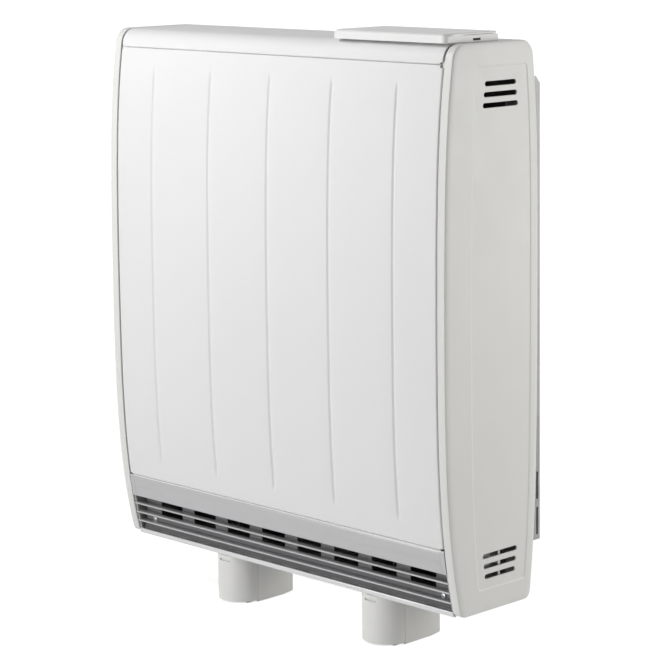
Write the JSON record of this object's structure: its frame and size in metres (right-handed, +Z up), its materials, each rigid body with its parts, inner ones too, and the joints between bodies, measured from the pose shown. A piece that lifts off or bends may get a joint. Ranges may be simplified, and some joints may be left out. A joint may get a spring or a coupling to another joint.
{
  "type": "storage heater",
  "caption": "Floor-standing fan-assisted storage heater with a bowed grooved front, moulded end caps, a finned outlet at the bottom and a flip-lid control unit on top.",
  "frame": {"origin": "on the floor, midway across the heater's width and its depth from the fullest point of the front to the wall face", "axes": "+X to the right as seen from the front, +Y from the front towards the wall, +Z up"},
  "size_m": [0.58, 0.185, 0.73],
  "materials": {
    "cap_plastic": "satin",
    "panel_paint": "satin",
    "grille_silver": "satin",
    "baffle_steel": "satin",
    "galvanised": "satin",
    "insulation": "matte",
    "storage_brick": "matte",
    "element_sheath": "matte",
    "bush_ceramic": "matte",
    "bright_steel": "satin",
    "fan_aluminium": "satin",
    "bearing_brass": "satin",
    "motor_steel": "satin",
    "board_green": "satin",
    "terminal_plastic": "matte",
    "sensor_plastic": "matte",
    "wire_sleeve": "satin",
    "black_rubber": "matte",
    "unit_plastic": "satin",
    "display_glass": "gloss",
    "button_plastic": "satin",
    "foot_plastic": "satin",
    "leg_paint": "satin"
  },
  "bodies": {
    "heater": {"left_end_cap": "cap_plastic", "right_end_cap": "cap_plastic", "front_panel": "panel_paint", "top_panel": "panel_paint", "outlet_grille": "grille_silver", "outlet_baffle": "baffle_steel", "outlet_duct": "galvanised", "base_pan": "galvanised", "core_shelf": "galvanised", "rear_panel": "galvanised", "wall_bracket": "galvanised", "core_casing": "galvanised", "inner_front_cover": "galvanised", "front_insulation": "insulation", "rear_insulation": "insulation", "left_insulation": "insulation", "right_insulation": "insulation", "top_insulation": "insulation", "base_insulation": "insulation", "brick_row_1": "storage_brick", "brick_row_2": "storage_brick", "brick_row_3": "storage_brick", "brick_row_4": "storage_brick", "brick_row_5": "storage_brick", "brick_row_6": "storage_brick", "heating_element_1": "element_sheath", "heating_element_2": "element_sheath", "heating_element_3": "element_sheath", "element_bushes": "bush_ceramic", "thermal_cutout": "bush_ceramic", "core_sensor": "bright_steel", "fan_housing": "galvanised", "fan_bearing": "bearing_brass", "fan_motor": "motor_steel", "flap_actuator": "bearing_brass", "electronics_plate": "galvanised", "power_board": "board_green", "terminal_block": "terminal_plastic", "room_sensor": "sensor_plastic", "wiring_loom": "wire_sleeve", "cable_grommet": "black_rubber", "control_base": "unit_plastic", "control_board": "board_green", "button_mat": "black_rubber", "display_window": "display_glass", "lid_hinge_pins": "bright_steel", "left_foot_cover": "foot_plastic", "right_foot_cover": "foot_plastic", "leg_brackets": "leg_paint", "screws": "bright_steel"},
    "lid": {"control_lid": "unit_plastic"},
    "fan_rotor": {"fan_impeller": "fan_aluminium", "fan_shaft": "bright_steel"},
    "flap": {"mixing_flap": "galvanised", "flap_rod": "bright_steel"},
    "back_key": {"back_button": "button_plastic"},
    "minus_key": {"minus_button": "button_plastic"},
    "plus_key": {"plus_button": "button_plastic"},
    "select_key": {"select_button": "button_plastic"},
    "boost_key": {"boost_button": "button_plastic"}
  },
  "joints": [
    {"name": "lid_hinge", "type": "hinge", "parent": "heater", "child": "lid", "pos_m": [0.1881, 0.0094, 0.7246], "axis": [-1, 0, 0], "range_deg": [0, 95]},
    {"name": "fan_spin", "type": "hinge", "parent": "heater", "child": "fan_rotor", "pos_m": [-0.02, 0.0253, 0.0934], "axis": [1, 0, 0], "continuous": true},
    {"name": "flap_tilt", "type": "hinge", "parent": "heater", "child": "flap", "pos_m": [0, -0.012, 0.1123], "axis": [1, 0, 0], "range_deg": [0, 45]},
    {"name": "back_press", "type": "slide", "parent": "heater", "child": "back_key", "axis": [0, 0, -1], "range_m": [0, 0.0008], "stiffness_N_per_m": 300},
    {"name": "minus_press", "type": "slide", "parent": "heater", "child": "minus_key", "axis": [0, 0, -1], "range_m": [0, 0.0008], "stiffness_N_per_m": 300},
    {"name": "plus_press", "type": "slide", "parent": "heater", "child": "plus_key", "axis": [0, 0, -1], "range_m": [0, 0.0008], "stiffness_N_per_m": 300},
    {"name": "select_press", "type": "slide", "parent": "heater", "child": "select_key", "axis": [0, 0, -1], "range_m": [0, 0.0008], "stiffness_N_per_m": 300},
    {"name": "boost_press", "type": "slide", "parent": "heater", "child": "boost_key", "axis": [0, 0, -1], "range_m": [0, 0.0008], "stiffness_N_per_m": 300}
  ]
}
